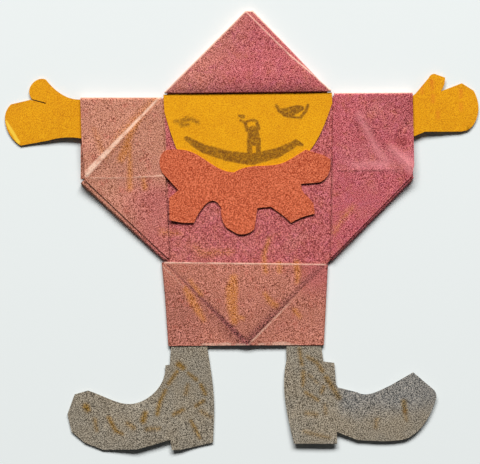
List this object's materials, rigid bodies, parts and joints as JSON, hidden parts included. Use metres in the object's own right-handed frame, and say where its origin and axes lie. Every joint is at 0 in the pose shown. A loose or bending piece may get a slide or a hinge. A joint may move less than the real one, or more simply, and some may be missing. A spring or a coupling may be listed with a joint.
{
  "type": "folded paper figure",
  "caption": "Clown folded from one faded rose paper sheet, with a drawn cut-out face, lobed collar, mitten hands and grey boots, lying flat on its back.",
  "frame": {"origin": "middle of the figure's outline, on the back face that it lies on", "axes": "+Z out of the figure's front, +Y towards the hat, +X towards the picture's right hand"},
  "size_m": [0.142, 0.1318, 0.0022],
  "materials": {
    "rose_sheet": "faded matt folding paper with pale worn creases",
    "yellow_paper": "matt golden yellow paper",
    "orange_paper": "matt orange-red paper",
    "grey_paper": "speckled matt grey paper with pencil marks"
  },
  "bodies": {
    "root": {"folded_body": "rose_sheet", "face": "yellow_paper", "collar": "orange_paper", "left_hand": "yellow_paper", "right_hand": "yellow_paper", "left_boot": "grey_paper", "right_boot": "grey_paper"}
  },
  "joints": []
}
